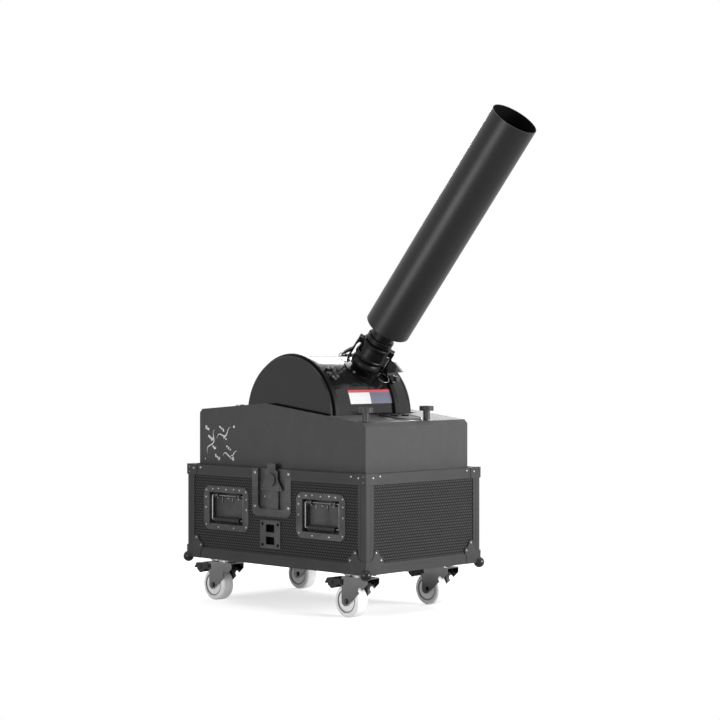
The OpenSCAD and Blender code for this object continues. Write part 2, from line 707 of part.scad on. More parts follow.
// Filler in the right slope of the roof, with a twist cap over a hopper
filler_r = (hood_x - bevel - drum_x - slot_half) / 2 - filler_edge;
filler_x = drum_x + slot_half + filler_r + 2;
filler_y = 12;
filler_bore = filler_r - 22;
module at_filler() translate([filler_x, filler_y, roof_at(filler_x)]) rotate([0, roof_slope, 0]) children();
module filler_flange() {
    color("silver") at_filler() difference() {
        union() {
            cylinder(r = filler_r, h = 3);
            translate([0, 0, -12]) cylinder(r = filler_bore, h = 13);
        }
        translate([0, 0, -20]) cylinder(r = filler_bore - 3, h = 40);
    }
}
module filler_cap() {
    color([0.05, 0.05, 0.05]) at_filler() {
        translate([0, 0, 3 + seat_gap]) difference() {
            cylinder(r = filler_r - 3, h = 2.5);
            translate([0, 0, 1.5]) cylinder(r = filler_r - 9, h = 5);
        }
        translate([0, 0, -10]) difference() {
            cylinder(r = filler_bore - 3 - seat_gap, h = 13.5 + seat_gap);
            translate([0, 0, -1]) cylinder(r = filler_bore - 6, h = 12);
        }
        translate([0, 0, 4]) for (a = [0, 180]) rotate([0, 0, a])
            translate([-3, 12, 0]) cube([6, 26, 4.5]);
    }
}
hopper_h = 150;
module hopper() {
    color("gray") at_filler() translate([0, 0, -12 - hopper_h]) difference() {
        cylinder(r = filler_bore, h = hopper_h);
        translate([0, 0, 2]) cylinder(r = filler_bore - 2, h = hopper_h);
    }
}
screw_x = hood_x - 26;
screw_ys = [-hood_y + 28, 68];
screw_r = 5;
stem_r = 10.5;
module hand_screw(y) {
    foot = roof_at(screw_x - stem_r) + seat_gap;
    color([0.3, 0.3, 0.31]) translate([screw_x, y, foot]) {
        translate([0, 0, -30]) cylinder(r = screw_r, h = 31);
        difference() {
            cylinder(r = stem_r, h = 27);
            for (a = [0 : 45 : 315]) rotate([0, 0, a]) translate([stem_r + 1, 0, -1]) cylinder(r = 2, h = 26);
        }
        translate([0, 0, 27]) difference() {
            cylinder(r = knob_r, h = 15);
            for (a = [0 : 15 : 345]) rotate([0, 0, a]) translate([knob_r + 0.7, 0, -1]) cylinder(r = 1.6, h = 20);
            translate([0, 0, 13.5]) cylinder(r = knob_r - 4, h = 5);
        }
    }
}

// Drum: shell, two ends with stub axles, two clamp bands, and the fan inside
module at_drum() translate([drum_x, 0, drum_z]) children();
module along_barrel() at_drum() rotate([0, 90 - elevation, 0]) children();
module turned() at_drum() rotate([90, 0, 0]) rotate_extrude($fn = 180) children();
lip = 1.6;
module drum_shell() {
    front = drum_front - 3;
    back = -(drum_back - 3);
    color([0.2, 0.2, 0.21]) difference() {
        turned() polygon([
            [drum_r - drum_t, front], [drum_r, front], [drum_r, front - 2], [drum_r + lip, front - 3],
            [drum_r + lip, front - 5], [drum_r, front - 6], [drum_r, back + 8], [drum_r + lip, back + 7],
            [drum_r + lip, back + 5], [drum_r, back + 4], [drum_r, back], [drum_r - drum_t, back]]);
        along_barrel() cylinder(r = air_r, h = 300);
    }
}
stub_to = hood_y - hood_t - 1;
module drum_front() {
    color([0.2, 0.2, 0.21]) turned() polygon([
        [0, drum_front - 3], [drum_r, drum_front - 3], [drum_r, drum_front - 1.2], [drum_r - 1.2, drum_front],
        [stub_r + 5, drum_front], [stub_r, drum_front + 1.5], [stub_r, stub_to], [0, stub_to]]);
}
module drum_back() {
    color([0.2, 0.2, 0.21]) turned() polygon([
        [0, -(drum_back - 3)], [drum_r, -(drum_back - 3)], [drum_r, -(drum_back - 1.2)],
        [drum_r - 1.2, -drum_back], [stub_r + 12, -drum_back], [stub_r + 7, -(drum_back + 40)],
        [stub_r, -(drum_back + 42)], [stub_r, -stub_to], [0, -stub_to]]);
}
band_in = drum_r + 0.2;
module band(from, to) {
    turned() polygon([[band_in, from], [band_r - 2, from], [band_r, from + 2], [band_r, to - 2],
        [band_r - 2, to], [band_in, to]]);
}
ear_y = drum_back - 66;
module drum_bands() {
    color([0.04, 0.04, 0.04]) {
        band(drum_front - 32, drum_front - 14);
        difference() {
            union() {
                band(63 - drum_back, 83 - drum_back);
                at_drum() translate([0, ear_y, 0]) rotate([90, 0, 0]) linear_extrude(8) {
                    polygon([polar(band_r - 3, 55), polar(band_r + 43, 50), polar(band_r + 51, 43),
                        polar(band_r + 59, 32.4), polar(band_r + 13, 39.74), polar(band_r - 3, 43)]);
                    polygon([polar(band_r - 3, 40), polar(band_r + 22, 35.81), polar(band_r + 9.4, 30.58),
                        polar(band_r - 3, 30)]);
                }
            }
            knob_axis() cylinder(r = 3 + fit_gap, h = 60);
        }
        // closing screw of the front band
        at_drum() for (a = [37, 47]) rotate([0, -a, 0])
            translate([band_r - 2, -drum_front + 30, -3]) cube([12, 30, 6]);
        at_drum() rotate([0, -42, 0]) translate([band_r + 5, -drum_front + 52, 0])
            cylinder(r = 3, h = 52, center = true);
    }
}
// screw of the back band, along X through a lug of the ear
knob_at = polar(band_r + 3.668, 35.371);
module knob_axis() translate([drum_x + knob_at[0], ear_y - 4, drum_z + knob_at[1]]) rotate([0, 90, 0]) children();
module band_knob() {
    color([0.2, 0.2, 0.2]) knob_axis() {
        translate([0, 0, 1]) cylinder(r = 3, h = 20);
        translate([0, 0, 14 + seat_gap]) cylinder(r = 6, h = 5);
        translate([0, 0, 18]) difference() {
            cylinder(r = 9, h = 15);
            for (a = [0 : 45 : 315]) rotate([0, 0, a]) translate([10, 0, -1]) cylinder(r = 2, h = 20);
        }
    }
}
motor_r = 60;
motor_front = -60;
shaft_r = 8;
module fan_motor() {
    color("gray") turned() polygon([
        [0, 30], [shaft_r, 30], [shaft_r, motor_front], [30, motor_front], [motor_r, motor_front - 10],
        [motor_r, -(drum_back - 3)], [0, -(drum_back - 3)]]);
}
fan_r = drum_r - 36;
blades = 20;
module fan_wheel() {
    color("silver") {
        turned() polygon([[shaft_r + fit_gap, 28], [22, 28], [22, -40], [fan_r, -44], [fan_r, -47],
            [22, -47], [22, -56], [shaft_r + fit_gap, -56]]);
        turned() polygon([[fan_r - 34, 60], [fan_r, 60], [fan_r, 57], [fan_r - 34, 57]]);
        at_drum() rotate([90, 0, 0]) for (i = [0 : blades - 1]) rotate([0, 0, i * 360 / blades])
            translate([fan_r - 30, 0, -46]) rotate([0, 0, 35]) cube([30, 2, 104.5]);
    }
}

// Coupler base: a saddle on the drum and a ball-shaped foot with the air way through it
saddle_r = 60;
base_top = drum_r + 54;
module coupler_base() {
    color([0.07, 0.07, 0.07]) difference() {
        union() {
            intersection() {
                turned() translate([drum_r + 0.2, -90]) square([3.2, 180]);
                along_barrel() cylinder(r = saddle_r, h = 300);
            }
            difference() {
                along_barrel() rotate_extrude() polygon(concat([[0, drum_r - 36], [37.5, drum_r - 36]],
                    [for (a = [-45 : 9 : 45]) [8 + 42 * cos(a), drum_r + 31 + 29 * sin(a)]],
                    [[43, base_top - 2], [43, base_top], [0, base_top]]));
                at_drum() rotate([90, 0, 0]) cylinder(r = drum_r + 0.2, h = 400, center = true, $fn = 180);
            }
        }
        along_barrel() cylinder(r = air_r, h = 400);
        along_barrel() for (a = [75 : 105 : 285]) rotate([0, 0, a]) translate([51, 0, 0]) cylinder(r = 3, h = drum_r + 6);
    }
}

// Coupler body: a socket with four windows, rolled rims and two pairs of ears for the cam levers
body_top = drum_r + 112;
LEVERS = [223, 43];          // bearings of the two levers round the barrel
lever_w = 15;
ear_t = 4;
module coupler_body() {
    color([0.09, 0.09, 0.09]) along_barrel() difference() {
        union() {
            rotate_extrude() polygon([
                [air_r, base_top], [49, base_top], [50.5, base_top + 2], [50.5, base_top + 9], [48.5, base_top + 11],
                [46, body_top - 16], [46, body_top - 12], [48, body_top - 10], [48, body_top - 3],
                [46, body_top], [neck_r + fit_gap, body_top], [neck_r + fit_gap, cam_from - 14],
                [air_r, cam_from - 16]]);
            for (b = LEVERS) rotate([0, 0, b]) for (s = [-1, 1])
                translate([40, s * (lever_w / 2 + seat_gap + ear_t / 2) - ear_t / 2, cam_from - 9])
                    cube([cam_out - 40 + 8, ear_t, 18]);
        }
        // lever slots
        for (b = LEVERS) rotate([0, 0, b]) {
            translate([30, -lever_w / 2 - seat_gap, cam_from - 12]) cube([40, lever_w + 2 * seat_gap, 24]);
            translate([cam_out, 0, cam_from]) rotate([90, 0, 0])
                cylinder(r = cam_pin_r + fit_gap, h = 60, center = true);
        }
        // view windows between the levers
        for (b = [LEVERS[0] + 29, LEVERS[1] + 29]) rotate([0, 0, b]) {
            translate([neck_r + 3, -11, base_top + 16]) cube([20, 22, 26]);
        }
    }
}
// Cam lever: a round cam on its pin, a curved handle along the body and a flared finger tip
lever_l = 92;
module lever_plate() {
    polygon([[-6, 6], [8, 4], [9, -20], [9, -48], [8.5, -78], [6, -lever_l + 4], [1, -lever_l],
        [-3, -lever_l + 2], [2.5, -lever_l + 10], [3.5, -78], [3.5, -44], [4, -20], [-2, -6]]);
    circle(8.5);
}
eye_down = 76;               // from the pivot down to the ring's eye
eye_out = 6;                 // and out from the pivot
module cam_lever(b) {
    color([0.16, 0.16, 0.16]) along_barrel() rotate([0, 0, b]) translate([cam_out, 0, cam_from]) {
        difference() {
            union() {
                rotate([90, 0, 0]) linear_extrude(lever_w, center = true) lever_plate();
                // finger spur that stands off the handle
                rotate([90, 0, 0]) linear_extrude(lever_w, center = true)
                    polygon([[5, -44], [8, -40], [17, -53], [25, -68], [28, -84], [22, -73], [12, -58], [5, -52]]);
            }
            translate([0, 0, -eye_down]) rotate([0, 90, 0]) cylinder(r = ring_wire + 3.4, h = 60, center = true);
        }
        rotate([90, 0, 0]) cylinder(r = cam_pin_r, h = lever_w + 2 * (ear_t + seat_gap) + 2, center = true);
    }
}
ring_wire = 1.6;
RING_LEAN = [34, 34];        // how far the two rings lean away from their levers
RING_SWING = [80, -80];     // how far they hang to the side of their levers
module pull_ring(i) {
    color("silver") along_barrel() rotate([0, 0, LEVERS[i]]) translate([cam_out + eye_out, 0, cam_from - eye_down])
        rotate([RING_SWING[i], 0, 0]) rotate([0, -RING_LEAN[i], 0]) translate([0, 0, -ring_r]) rotate([90, 0, 0])
            rotate_extrude() translate([ring_r, 0]) circle(ring_wire, $fn = 24);
}

// Neck: the coupler's spigot, a collar and the floor of the barrel
collar = [drum_r + 116, drum_r + 134];
module barrel_neck() {
    spigot = cam_from - 12;
    color([0.08, 0.08, 0.08]) along_barrel() rotate_extrude($fn = 96) polygon([
        [air_r, spigot], [neck_r, spigot], [neck_r, cam_from - 5], [neck_r - 2, cam_from - 3],
        [neck_r - 2, cam_from + 3], [neck_r, cam_from + 5], [neck_r, collar[0]], [neck_r + 4, collar[0]],
        [neck_r + 5, collar[0] + 2], [neck_r + 5, collar[1] - 2], [neck_r + 4, collar[1]],
        [neck_r, collar[1]], [neck_r, barrel_from - 3], [barrel_r - 3, barrel_from - 3],
        [barrel_r - 3, barrel_from], [air_r + 2, barrel_from], [air_r, barrel_from - 6]]);
}
module barrel() {
    color([0.2, 0.2, 0.2]) along_barrel() difference() {
        union() {
            translate([0, 0, barrel_from]) cylinder(r = barrel_r, h = barrel_l, $fn = 180);
        }
        translate([0, 0, barrel_from + barrel_t]) cylinder(r = barrel_r - barrel_t, h = barrel_l, $fn = 180);
        translate([0, 0, barrel_from - 1]) cylinder(r = air_r + 2, h = 20);
    }
}

placed() base_board();
placed() front_board();
placed() back_board();
placed() end_boards();
placed() bottom_rails();
placed() rim_rails();
placed() corner_posts();
placed() corner_braces();
placed() ball_corners();
placed() fasteners();
placed() caster_mounts();
placed() fork(0);  // fork_front_left
placed() fork(1);  // fork_front_right
placed() fork(2);  // fork_back_left
placed() fork(3);  // fork_back_right
placed() wheel(0);  // wheel_front_left
placed() wheel(1);  // wheel_front_right
placed() wheel(2);  // wheel_back_left
placed() wheel(3);  // wheel_back_right
placed() brake(0);  // brake_front_left
placed() brake(1);  // brake_front_right
placed() brake(2);  // brake_back_left
placed() brake(3);  // brake_back_right
placed() dish(-1);  // left_dish
placed() dish(1);  // right_dish
placed() handle_springs();
placed() bail(-1);  // left_bail
placed() bail(1);  // right_bail
placed() grip(-1);  // left_grip
placed() grip(1);  // right_grip
placed() latch_dish();
placed() latch_hook();
placed() latch_wing();
placed() socket_plate();
placed() power_sockets();
placed() control_box();
placed() hood_shell();
placed() hood_walls();
placed() tilt_bearings();
placed() filler_flange();
placed() filler_cap();
placed() hopper();
placed() hand_screw(screw_ys[0]);  // front_hand_screw
placed() hand_screw(screw_ys[1]);  // back_hand_screw
placed() drum_shell();
placed() drum_front();
placed() drum_back();
placed() drum_bands();
placed() band_knob();
placed() fan_motor();
placed() fan_wheel();
placed() coupler_base();
placed() coupler_body();
placed() cam_lever(LEVERS[0]);  // cam_lever_upper
placed() cam_lever(LEVERS[1]);  // cam_lever_lower
placed() pull_ring(0);  // pull_ring_upper
placed() pull_ring(1);  // pull_ring_lower
placed() barrel_neck();
placed() barrel();
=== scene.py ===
# %% [markdown]
# The machine is a confetti blower: a fan drum that tilts in a sheet-metal hood, with a long
# barrel held by a cam-lever coupler, all carried in a flight case on casters. The solids come
# from the CAD model and stay where they are. Everything in this file is about finish: what each
# surface is made of, and the small fixings and prints that are too fine for the solids.

# %% Load the packed model
import json
import math

import bmesh
import bpy
from mathutils import Matrix, Vector


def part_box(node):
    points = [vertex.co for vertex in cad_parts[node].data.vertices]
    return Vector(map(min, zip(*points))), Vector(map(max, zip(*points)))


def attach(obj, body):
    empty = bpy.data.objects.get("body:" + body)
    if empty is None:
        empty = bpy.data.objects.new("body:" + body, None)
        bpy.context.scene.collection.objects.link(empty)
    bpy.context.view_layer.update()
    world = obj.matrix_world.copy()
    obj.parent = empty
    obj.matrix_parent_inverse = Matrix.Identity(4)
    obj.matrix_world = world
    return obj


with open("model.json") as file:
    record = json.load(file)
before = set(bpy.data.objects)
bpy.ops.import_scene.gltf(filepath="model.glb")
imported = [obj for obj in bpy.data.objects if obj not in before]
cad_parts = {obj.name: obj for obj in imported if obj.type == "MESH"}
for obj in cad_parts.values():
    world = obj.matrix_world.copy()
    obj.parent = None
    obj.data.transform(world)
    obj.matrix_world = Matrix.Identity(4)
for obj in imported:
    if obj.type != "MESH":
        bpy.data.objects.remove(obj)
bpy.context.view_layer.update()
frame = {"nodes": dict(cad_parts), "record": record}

nodes = frame["nodes"]

# %% [markdown]
# Pieces are placed by reading the boxes of the CAD nodes. Typed coordinates would do as well, but
# places that are read follow the model when one of its sizes changes.

# %% Places taken from the CAD nodes
case_low, case_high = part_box("base_board")
case_x = (case_low.x + case_high.x) / 2
rim_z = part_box("rim_rails")[1].z
wall_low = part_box("hood_walls")[0]
motor_low, motor_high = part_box("fan_motor")
drum_axis = Vector(((motor_low.x + motor_high.x) / 2, 0, (motor_low.z + motor_high.z) / 2))
DRUM_RADIUS = 0.186
elevation = math.radians(50)  # of the barrel above the floor, at rest
along = Vector((math.cos(elevation), 0, math.sin(elevation)))
print("case middle x", round(case_x, 4), "rim", round(rim_z, 4))
print("drum axis", tuple(round(v, 4) for v in drum_axis))

# %% [markdown]
# A finish is a small graph of nodes. Linking nodes by hand takes many lines and hides the idea,
# so this file writes a material's maths as maths. `Wire` wraps one socket, and `mask * 0.2 + 0.1`
# adds the Math nodes by itself. The reflected forms, such as `__rsub__`, let a plain number stand
# on the left.


# %% Socket maths
class Wire:
    def __init__(self, finish, socket):
        self.finish, self.socket = finish, socket

    def math(self, operation, *values):
        return self.finish.add("ShaderNodeMath", {"operation": operation}, dict(enumerate(values)))

    def __add__(self, other):
        return self.math("ADD", self, other)

    def __radd__(self, other):
        return self.math("ADD", other, self)

    def __sub__(self, other):
        return self.math("SUBTRACT", self, other)

    def __rsub__(self, other):
        return self.math("SUBTRACT", other, self)

    def __mul__(self, other):
        return self.math("MULTIPLY", self, other)

    def __rmul__(self, other):
        return self.math("MULTIPLY", other, self)

    def __truediv__(self, other):
        return self.math("DIVIDE", self, other)

    def __pow__(self, other):
        return self.math("POWER", self, other)

    def above(self, edge):
        return self.math("GREATER_THAN", self, edge)

    def fraction(self):
        return self.math("FRACT", self)

    def floor(self):
        return self.math("FLOOR", self)

    def size(self):
        return self.math("ABSOLUTE", self)

    def least(self, other):
        return self.math("MINIMUM", self, other)

    def most(self, other):
        return self.math("MAXIMUM", self, other)

    def clear(self, low, high):
        """0 below low, 1 above high, smooth between."""
        return self.finish.add("ShaderNodeMapRange", {"interpolation_type": "SMOOTHSTEP"},
                               {"Value": self, "From Min": low, "From Max": high})


print("Wire ready:", len([name for name in vars(Wire) if name != "__init__"]), "entries")

# %% [markdown]
# `Finish` holds one material, or the world, and adds any other node with a single call: its type,
# its settings, then what goes into its sockets. The methods under it are the few patterns that
# every surface here shares: a place on the object, its axes, a noise in real size, a mix of two
# colours, and a bump with a depth in metres.


# %% Finish
class Finish:
    def __init__(self, name, shelf=bpy.data.materials, shader="Principled BSDF"):
        self.material = shelf.new(name)
        self.material.use_nodes = True
        self.tree = self.material.node_tree
        self.shader = self.tree.nodes[shader]

    def add(self, kind, settings=None, values=None, out=0):
        node = self.tree.nodes.new(kind)
        for key, value in (settings or {}).items():
            setattr(node, key, value)
        for key, value in (values or {}).items():
            self.join(value, node.inputs[key])
        return Wire(self, node.outputs[out])

    def join(self, value, socket):
        if isinstance(value, Wire):
            self.tree.links.new(value.socket, socket)
        else:
            socket.default_value = value

    def set(self, **values):
        for key, value in values.items():
            self.join(value, self.shader.inputs[key.replace("_", " ")])

    def place(self):
        return self.add("ShaderNodeTexCoord", out="Object")

    def axes(self, out="Object"):
        vector = self.add("ShaderNodeTexCoord", out=out)
        split = self.add("ShaderNodeSeparateXYZ", values={0: vector})
        return [Wire(self, split.socket.node.outputs[i]) for i in range(3)]

    def noise(self, scale, detail=3.0, rough=0.5, stretch=(1, 1, 1)):
        spot = self.place()
        if stretch != (1, 1, 1):
            spot = self.add("ShaderNodeVectorMath", {"operation": "MULTIPLY"},
                            {0: spot, 1: stretch})
        return self.add("ShaderNodeTexNoise", {},
                        {"Vector": spot, "Scale": scale, "Detail": detail, "Roughness": rough})

    def mix(self, share, first, second):
        first, second = [(*c, 1) if isinstance(c, tuple) else c for c in (first, second)]
        return self.add("ShaderNodeMix", {"data_type": "RGBA"}, {0: share, 6: first, 7: second},
                        out=2)

    def bump(self, height, depth):
        """height runs 0 to 1 and stands for depth metres."""
        self.set(Normal=self.add("ShaderNodeBump", {}, {"Height": height, "Distance": depth}))


finishes = {}
print("Finish ready")

# %% [markdown]
# Colours are picked on a screen, where 0.5 looks half bright, but the renderer counts
# light itself. `grey` turns a screen grey into linear light, so every level in this file can be
# compared with what is seen.


# %% Greys
def grey(level, tint=0.0):
    """A screen grey from 0 to 1 as linear colour, a touch bluer with tint."""
    line = lambda v: v / 12.92 if v <= 0.04045 else ((v + 0.055) / 1.055) ** 2.4
    return (line(level - tint), line(level), line(min(1, level + tint)))


print("screen grey 0.5 is", round(grey(0.5)[1], 3), "in linear light")

# %% [markdown]
# Powder coat and enamel are the main finish: dark grey on the hood, black on the drum, barrel and
# coupler. Up close powder coat is a fine orange-peel, and it gathers pale dust and hair-thin
# scratches. One function makes them all, from the colour, the gloss, and the size of the peel.


# %% Coats
def coat(name, level, gloss_rough, peel=0.0004, peel_scale=900, spread=0.15, dust=0.10,
         specular=0.5):
    f = Finish(name)
    cloud = f.noise(9, 4, 0.6)
    fine = f.noise(peel_scale, 2, 0.5)
    scratch = f.noise(60, 6, 0.75, (1, 1, 14)).clear(0.66, 0.72)
    scratch = scratch * f.noise(7, 2).clear(0.5, 0.62)
    dusty = f.noise(26, 5, 0.7).clear(0.46, 0.75) * dust
    low, high = level * (1 - spread / 2), level * (1 + spread / 2)
    base = f.mix(cloud.clear(0.3, 0.7), grey(low), grey(high))
    worn = f.mix(scratch * 0.25 + dusty, base, grey(min(0.9, level * 1.25 + 0.12)))
    f.set(Base_Color=worn, Specular_IOR_Level=specular,
          Roughness=(cloud - 0.5) * 0.10 + fine * 0.05 + scratch * 0.12 + dusty * 0.6 + gloss_rough)
    f.bump(fine, peel)
    f.colour = worn
    finishes[name] = f
    return f


print("coat ready")

# %% [markdown]
# The coats themselves. The hood's powder coat is matt and mid grey. The drum's enamel is the
# glossiest thing on the machine, and the barrel's is blacker and softer, so that its highlight
# runs as one broad band. The rest is black or nearly so. The levels were matched to the surfaces
# under this file's own lamps.

# %% The coats in use
coat("hood_enamel", 0.308, 0.46, peel=0.00012, peel_scale=1300, spread=0.05, dust=0.05,
     specular=0.12)
coat("drum_enamel", 0.10, 0.12, peel=0.00003, peel_scale=700, spread=0.08, dust=0.03,
     specular=0.38)
coat("barrel_enamel", 0.05, 0.34, peel=0.00005, peel_scale=800, spread=0.08, dust=0.03,
     specular=0.35)
black = coat("band_black", 0.05, 0.30, peel=0.00008, peel_scale=1000, dust=0.04, specular=0.18)
coat("pedal_black", 0.08, 0.28, peel=0.00008, peel_scale=1000, dust=0.04, specular=0.4)
coat("knob_grey", 0.22, 0.34, peel=0.00006, specular=0.3)
coat("socket_black", 0.04, 0.50, peel=0.00005, dust=0.02, specular=0.05)

print("coats:", len(finishes))

# %% [markdown]
# The back band and its ear are one piece of steel, but the ear was left bare. A second material
# would need its faces picked by hand. A mask made from the distance to the drum's axis finds the
# ear by itself.

# %% The bare ear
EAR_RADIUS, EAR_NEAR, EAR_FAR = 0.202, 0.0835, 0.0925
ex, ey, ez = black.axes()
ex, ez = ex - drum_axis.x, ez - drum_axis.z
bare = ey.above(EAR_NEAR) * (ex * ex + ez * ez).above(EAR_RADIUS ** 2) * (EAR_FAR - ey).above(0)
black.set(Base_Color=black.mix(bare, black.colour, grey(0.58)))
print("bare ear beyond radius", EAR_RADIUS)

# %% [markdown]
# Bare and plated metal: rods and rivets are bright steel, brackets are zinc-plated, the caster
# forks are chrome, and the handle dishes and corners are steel with a dark plating. Rolled metal
# has a fine grain, which a small noise gives, and plating clouds slowly over a hand's width.


# %% Metals
def metal(name, level, rough, grain=(1, 1, 1), grain_depth=0.00002, cloud_share=0.12, tint=0.0,
          metallic=1.0, stain=0.15, specular=0.15):
    f = Finish(name)
    fine = f.noise(500, 3, 0.6, grain)
    cloud = f.noise(14, 4, 0.6)
    stains = f.noise(70, 5, 0.7).clear(0.55, 0.8)
    base = f.mix(cloud.clear(0.3, 0.7), grey(level * (1 - cloud_share), tint),
                 grey(min(1, level * (1 + cloud_share)), tint))
    f.set(Base_Color=f.mix(stains * stain, base, grey(level * 0.6)), Metallic=metallic,
          Specular_IOR_Level=specular,
          Roughness=(fine - 0.5) * 0.12 + (cloud - 0.5) * 0.10 + stains * 0.15 + rough)
    f.bump(fine, grain_depth)
    finishes[name] = f
    return f


print("metal ready")

# %% [markdown]
# The same function makes every metal on the machine. The edge rails are anodised and dark, so
# they are no mirror: their look comes from a soft reflection over a dark ground, and Metallic
# stays at zero.

# %% The metals in use
metal("chrome", 0.47, 0.10, grain_depth=0.00001, cloud_share=0.04, stain=0.05)
metal("rivet_steel", 0.56, 0.30)
metal("bright_rod", 0.44, 0.28)
metal("zinc_plate", 0.62, 0.34, tint=0.01)
metal("fan_alloy", 0.72, 0.38)
metal("dish_steel", 0.31, 0.42, metallic=0.3, stain=0.10)
corner = metal("corner_steel", 0.18, 0.44, metallic=0.0, stain=0.10, specular=0.32)
metal("edge_rail", 0.17, 0.44, grain=(0.05, 0.05, 0.05), metallic=0.0, cloud_share=0.06,
      stain=0.08, specular=0.32)

print("metals:", len(finishes))

# %% [markdown]
# Each bottom corner ends in a steel ball that takes the knocks, and knocks polish it. The ball is
# the only part of its corner that stands out of the case's faces, so its mask is the distance out
# of those faces.

# %% Polished balls
BALL_OUT, BALL_HEIGHT = 0.006, 0.03
bx, by, bz = corner.axes()
half_long, half_wide = (case_high.x - case_low.x) / 2, (case_high.y - case_low.y) / 2
out = ((bx - case_x).size() - half_long).most(by.size() - half_wide)
ball = out.above(BALL_OUT) * (case_low.z + BALL_HEIGHT - bz).above(0)
corner.set(Roughness=0.44 - ball * 0.28, Metallic=ball * 0.6)
print("balls stand out by more than", BALL_OUT)

# %% [markdown]
# The case boards are plywood faced with a black laminate that is embossed with small staggered
# ovals. The pattern has to stand upright on every side, so the texture picks X or Y as its
# sideways direction from the surface's own normal, then folds space into one cell and raises an
# oval in it.

# %% Laminate
CELL_W, CELL_H = 0.0107, 0.0087
OVAL_W, OVAL_H = 0.0046, 0.0034  # half sizes
laminate = Finish("board_laminate")
px, py, pz = laminate.axes()
faces_front = laminate.axes("Normal")[1].size().above(0.5)
sideways = px * faces_front + py * (1 - faces_front)
row = pz / CELL_H
column = sideways / CELL_W + row.floor() * 0.5
cell_u = (column.fraction() - 0.5) * (CELL_W / OVAL_W)
cell_v = (row.fraction() - 0.5) * (CELL_H / OVAL_H)
oval = 1 - (cell_u * cell_u + cell_v * cell_v).clear(0.55, 1.0)
grime = laminate.noise(22, 5, 0.7).clear(0.45, 0.8)
grain = laminate.noise(1500, 2)
laminate.set(Base_Color=laminate.mix(oval * 0.85 + grime * 0.12, grey(0.09), grey(0.25)),
             Roughness=0.46 - oval * 0.12 + grime * 0.12, Specular_IOR_Level=0.12)
laminate.bump(oval + grain * 0.08, 0.0006)
finishes["board_laminate"] = laminate
print("laminate cell", CELL_W, CELL_H)

# %% [markdown]
# The wheels are cast polyurethane, nearly white, that greys where it has rolled. The tread picks
# up floor dirt in fine specks, and the ring groove round the hub is painted darker. One material
# serves four wheels, so the groove is found by the distance from the nearest axle.

# %% Wheels
WHEELS = ("front_left", "front_right", "back_left", "back_right")
GROOVE_IN, GROOVE_OUT = 0.0316, 0.0364
HALF_AXLE = 0.04
tyre = Finish("tyre_white")
speck = tyre.noise(420, 4, 0.7).clear(0.6, 0.78)
smear = tyre.noise(30, 5, 0.7).clear(0.5, 0.85)
tx, ty, tz = tyre.axes()
to_axle = 1.0
for name in WHEELS:
    middle = sum(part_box("wheel_" + name), Vector()) / 2
    dx, dz = tx - middle.x, tz - middle.z
    elsewhere = (ty - middle.y).size().above(HALF_AXLE)  # another wheel on the same line
    to_axle = ((dx * dx + dz * dz) ** 0.5 + elsewhere).least(to_axle)
# The ring groove round the hub is painted a darker grey than the rest of the tyre.
groove = to_axle.above(GROOVE_IN) * (GROOVE_OUT - to_axle).above(0)
clean = tyre.mix(groove * 0.75, grey(0.97), grey(0.42))
tyre.set(Base_Color=tyre.mix(speck * 0.12 + smear * 0.12, clean, grey(0.72)),
         Roughness=0.34 + smear * 0.2 + speck * 0.1)
tyre.bump(tyre.noise(900, 3), 0.00006)
finishes["tyre_white"] = tyre
print("groove from", GROOVE_IN, "to", GROOVE_OUT, "round each axle")

# %% [markdown]
# The grips are moulded rubber, the only soft black on the machine. Hands leave it chalky in
# patches, so a slow noise lifts both its colour and its roughness.

# %% Rubber
rubber = Finish("grip_rubber")
chalk = rubber.noise(60, 5, 0.7).clear(0.45, 0.8)
rubber.set(Base_Color=rubber.mix(chalk * 0.4, grey(0.09), grey(0.22)), Roughness=0.55 + chalk * 0.2,
           Specular_IOR_Level=0.4)
rubber.bump(rubber.noise(1600, 3), 0.00012)
finishes["grip_rubber"] = rubber
print("finishes:", sorted(finishes))

# %% [markdown]
# The record of the model names a finish for every node. Reading the names from it keeps the
# dressing to one loop, and no node can be forgotten.

# %% Give every CAD node its finish
slot_of = {part["node"]: part["material_slot"] for part in frame["record"]["subparts"]}
for name, obj in nodes.items():
    obj.data.materials.clear()
    obj.data.materials.append(finishes[slot_of[name]].material)
print("dressed", len(nodes), "nodes")

# %% [markdown]
# Every added piece goes through one door: it gets a mesh, a finish, smooth faces with sharp edges
# where the angle asks for them, and the body that it rides on, so that it moves with the joints.


# %% A new piece
def new_piece(name, build, finish, body, smooth=True):
    mesh = bpy.data.meshes.new(name)
    shape = bmesh.new()
    build(shape)
    bmesh.ops.recalc_face_normals(shape, faces=shape.faces)
    shape.to_mesh(mesh)
    shape.free()
    piece = bpy.data.objects.new(name, mesh)
    bpy.context.scene.collection.objects.link(piece)
    mesh.materials.append(finishes[finish].material)
    for face in mesh.polygons:
        face.use_smooth = smooth
    if smooth:
        mesh.set_sharp_from_angle(angle=math.radians(35))
    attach(piece, body)
    print(name, "-", len(mesh.polygons), "faces on", body)


# %% [markdown]
# Small fixings are turned shapes: a profile spun round an axis. A screw modifier could do it on a
# curve, but a few lines of mesh code give closed ends and an exact place. `turned` takes a list
# of (radius, height) points, and a hexagon is the same thing spun in six steps.


# %% Turned fixings

